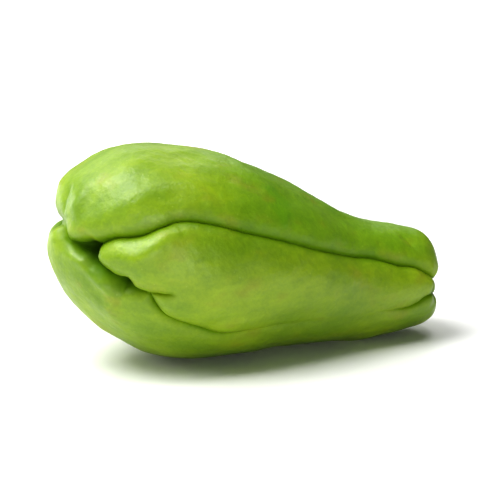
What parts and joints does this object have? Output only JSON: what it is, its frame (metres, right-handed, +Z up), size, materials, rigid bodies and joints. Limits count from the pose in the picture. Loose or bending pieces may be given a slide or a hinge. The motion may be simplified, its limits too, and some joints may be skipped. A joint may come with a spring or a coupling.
{
  "type": "chayote squash",
  "caption": "Pear-shaped green chayote fruit lying on its side, with deep lengthwise furrows between rounded lobes and a puckered mouth at its blossom end.",
  "frame": {"origin": "on the surface it rests on, under the middle of its box", "axes": "+X along the fruit from the blossom end with its puckered mouth to the stem end, +Z up; the side with the tongue-like lobe faces -Y"},
  "size_m": [0.1388, 0.0752, 0.0728],
  "materials": {
    "skin": "smooth waxy light green skin, faintly mottled, with soft highlights"
  },
  "bodies": {
    "root": {"chayote": "skin"}
  },
  "joints": []
}
